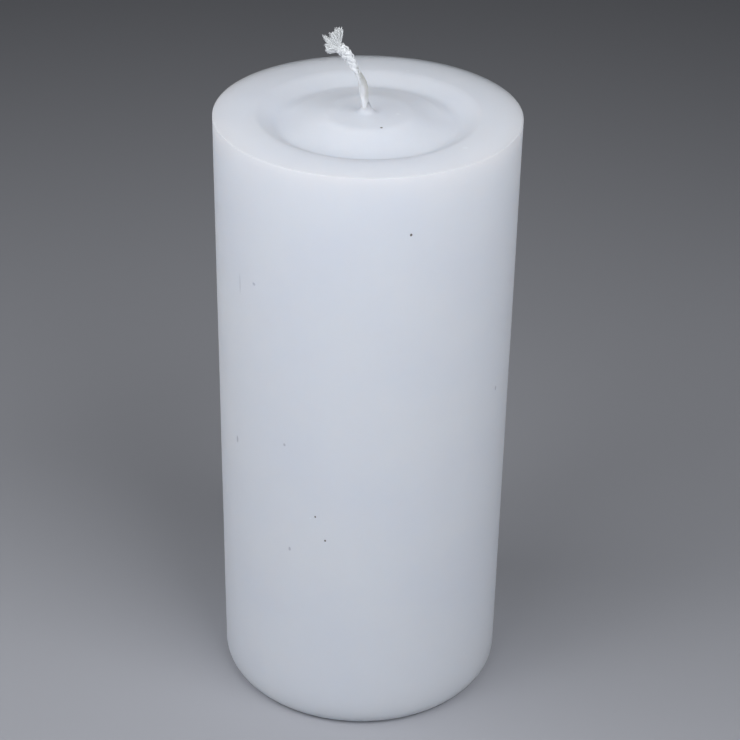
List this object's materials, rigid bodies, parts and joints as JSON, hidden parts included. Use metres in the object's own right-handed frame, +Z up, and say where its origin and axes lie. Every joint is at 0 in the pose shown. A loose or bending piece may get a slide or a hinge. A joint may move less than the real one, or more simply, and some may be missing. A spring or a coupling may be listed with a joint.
{
  "type": "pillar candle",
  "caption": "Moulded wax pillar candle with a flat rim, a shallow dished ring, a low central boss and a braided cotton wick with a frayed tip.",
  "frame": {"origin": "centre of the flat base that the candle stands on", "axes": "+Z up along the pillar's axis, towards the wick; the free wick leans towards -X"},
  "size_m": [0.07, 0.07, 0.1715],
  "materials": {
    "wax": "smooth moulded wax, soft satin, slightly translucent",
    "cotton": "braided cotton yarn, raw at the tip and soaked with wax at the root"
  },
  "bodies": {
    "root": {"wax_pillar": "wax", "wick_strand_1": "cotton", "wick_strand_2": "cotton", "wick_strand_3": "cotton", "wick_strand_4": "cotton", "wick_strand_5": "cotton", "wick_strand_6": "cotton", "wick_strand_7": "cotton", "wick_strand_8": "cotton"}
  },
  "joints": []
}
